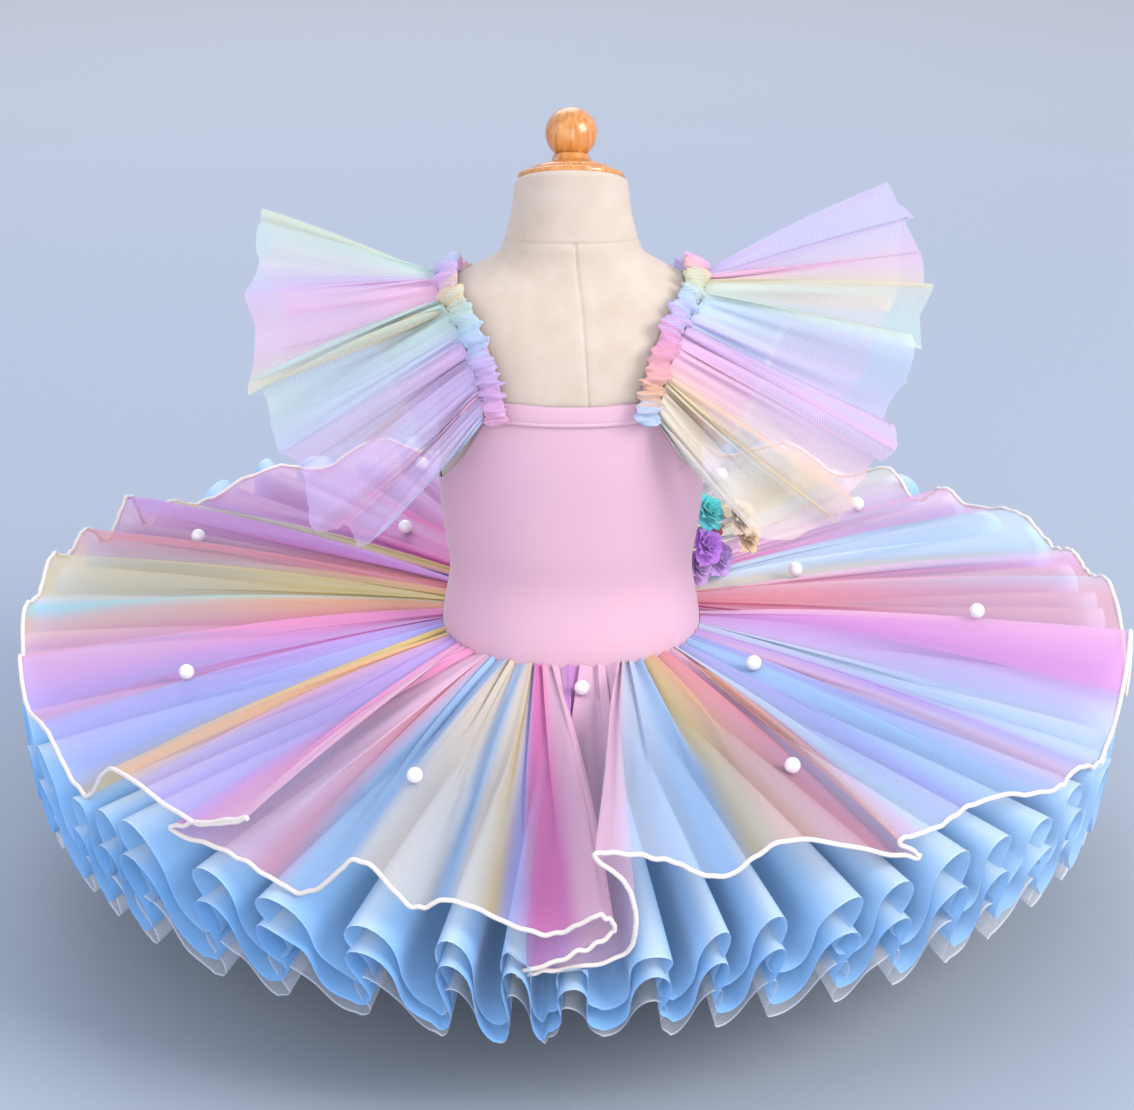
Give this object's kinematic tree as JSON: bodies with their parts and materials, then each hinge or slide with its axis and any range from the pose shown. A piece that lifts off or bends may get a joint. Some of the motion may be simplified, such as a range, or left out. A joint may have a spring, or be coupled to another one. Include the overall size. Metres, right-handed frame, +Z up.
{
  "type": "figure skating dress on dress form",
  "caption": "Child's figure skating dress with a knit bodice, gathered net flutter sleeves and a layered net skirt, worn by a limbless dress form on a low stand.",
  "frame": {"origin": "middle of the stand foot's underside, on the surface it stands on", "axes": "+Z up the stand; the wearer faces +Y, so the dress's back faces -Y; +X is the wearer's right"},
  "size_m": [0.7886, 0.7625, 0.5678],
  "materials": {
    "linen_cover": "woven linen, matt",
    "varnished_wood": "varnished, satin gloss",
    "pink_knit": "smooth stretch knit",
    "rainbow_net": "sheer striped net",
    "blue_net_pale": "sheer net",
    "blue_net": "sheer net",
    "white_net": "stiff sheer net",
    "cream_cord": "satin cord",
    "pearl": "pearl gloss",
    "silk_teal": "silk petals",
    "silk_purple": "silk petals",
    "silk_lilac": "silk petals",
    "silk_violet": "silk petals",
    "silk_peach": "silk petals",
    "silk_apricot": "silk petals",
    "silk_coral": "silk petals"
  },
  "bodies": {
    "root": {"form_ball_finial": "varnished_wood", "form_neck_cap": "varnished_wood", "form_torso": "linen_cover", "stand_foot": "varnished_wood", "stand_post": "varnished_wood", "bodice_back": "pink_knit", "bodice_front": "pink_knit", "hem_cord": "cream_cord", "neck_band_back": "pink_knit", "neck_band_front": "pink_knit", "skirt_blue_lower": "blue_net", "skirt_blue_upper": "blue_net_pale", "skirt_net": "white_net", "skirt_top": "rainbow_net", "sleeve_heading_left": "rainbow_net", "sleeve_heading_right": "rainbow_net", "sleeve_left": "rainbow_net", "sleeve_right": "rainbow_net", "sleeve_under_tier_left": "rainbow_net", "sleeve_under_tier_right": "rainbow_net", "strap_left": "pink_knit", "strap_right": "pink_knit", "flower_apricot": "silk_apricot", "flower_coral": "silk_coral", "flower_lilac": "silk_lilac", "flower_peach": "silk_peach", "flower_purple": "silk_purple", "flower_teal": "silk_teal", "flower_violet": "silk_violet", "pearl_1": "pearl", "pearl_2": "pearl", "pearl_3": "pearl", "pearl_4": "pearl", "pearl_5": "pearl", "pearl_6": "pearl", "pearl_7": "pearl", "pearl_8": "pearl", "pearl_9": "pearl", "pearl_10": "pearl", "pearl_11": "pearl", "pearl_12": "pearl", "pearl_13": "pearl", "pearl_14": "pearl"}
  },
  "joints": []
}
